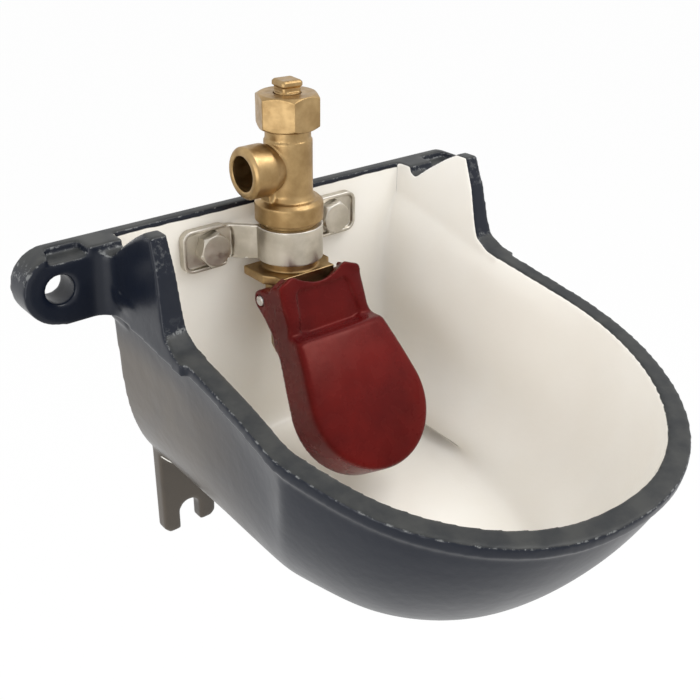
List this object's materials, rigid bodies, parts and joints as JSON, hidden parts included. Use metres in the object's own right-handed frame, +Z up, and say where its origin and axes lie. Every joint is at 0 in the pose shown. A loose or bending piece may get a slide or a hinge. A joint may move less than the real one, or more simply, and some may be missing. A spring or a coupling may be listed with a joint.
{
  "type": "livestock drinking bowl",
  "caption": "Wall-hung livestock drinking bowl in enamelled cast iron, with a push tongue under a strap-clamped brass pipe valve.",
  "frame": {"origin": "midway between the two upper wall holes, on the wall face", "axes": "+X to the viewer's right along the wall, +Y into the wall, +Z up"},
  "size_m": [0.2236, 0.2023, 0.1982],
  "materials": {
    "enamelled_iron": "glossy enamel, dark blue outside and white inside",
    "red_enamel": "glossy red enamel",
    "brass": "satin machined and cast",
    "zinc_steel": "dull zinc plate",
    "stainless": "turned",
    "rubber": "matt",
    "fibre": "matt sealing fibre"
  },
  "bodies": {
    "bowl": {"bowl_casting": "enamelled_iron", "valve_body": "brass", "gland_nut": "brass", "gland_packing": "rubber", "gland_follower": "brass", "orifice_ring": "brass", "valve_seat": "brass", "valve_spring": "stainless", "nozzle_seal": "fibre", "outlet_nozzle": "brass", "tongue_pin": "stainless", "clamp_strap": "zinc_steel", "clamp_screws": "zinc_steel"},
    "tongue": {"tongue": "red_enamel"},
    "stem": {"valve_stem": "stainless", "disc_seal": "rubber", "spring_washer": "stainless"},
    "spindle_seal": {"spindle_ring_seal": "rubber"},
    "spindle": {"flow_spindle": "brass", "regulator_disc": "rubber", "regulator_screw": "stainless"}
  },
  "joints": [
    {"name": "tongue_hinge", "type": "hinge", "parent": "bowl", "child": "tongue", "pos_m": [0, -0.027, -0.0215], "axis": [1, 0, 0], "range_deg": [0, 6.5], "stiffness_Nm_per_rad": 2, "springref_deg": -5.73},
    {"name": "stem_tilt", "type": "hinge", "parent": "bowl", "child": "stem", "pos_m": [0, -0.0255, -0.012], "axis": [1, 0, 0], "range_deg": [0, 5.3], "deforming": ["valve_spring"]},
    {"name": "spindle_lift", "type": "slide", "parent": "bowl", "child": "spindle_seal", "axis": [0, 0, 1], "range_m": [-0.0024, 0]},
    {"name": "spindle_turn", "type": "hinge", "parent": "spindle_seal", "child": "spindle", "pos_m": [0, -0.0199, 0.05], "axis": [0, 0, 1], "range_deg": [-691.2, 0]}
  ],
  "couplings": [
    {"joint": "stem_tilt", "follows": "tongue_hinge", "ratio": 0.8049},
    {"joint": "spindle_turn", "follows": "spindle_lift", "rad_per_m": 5026.5}
  ]
}
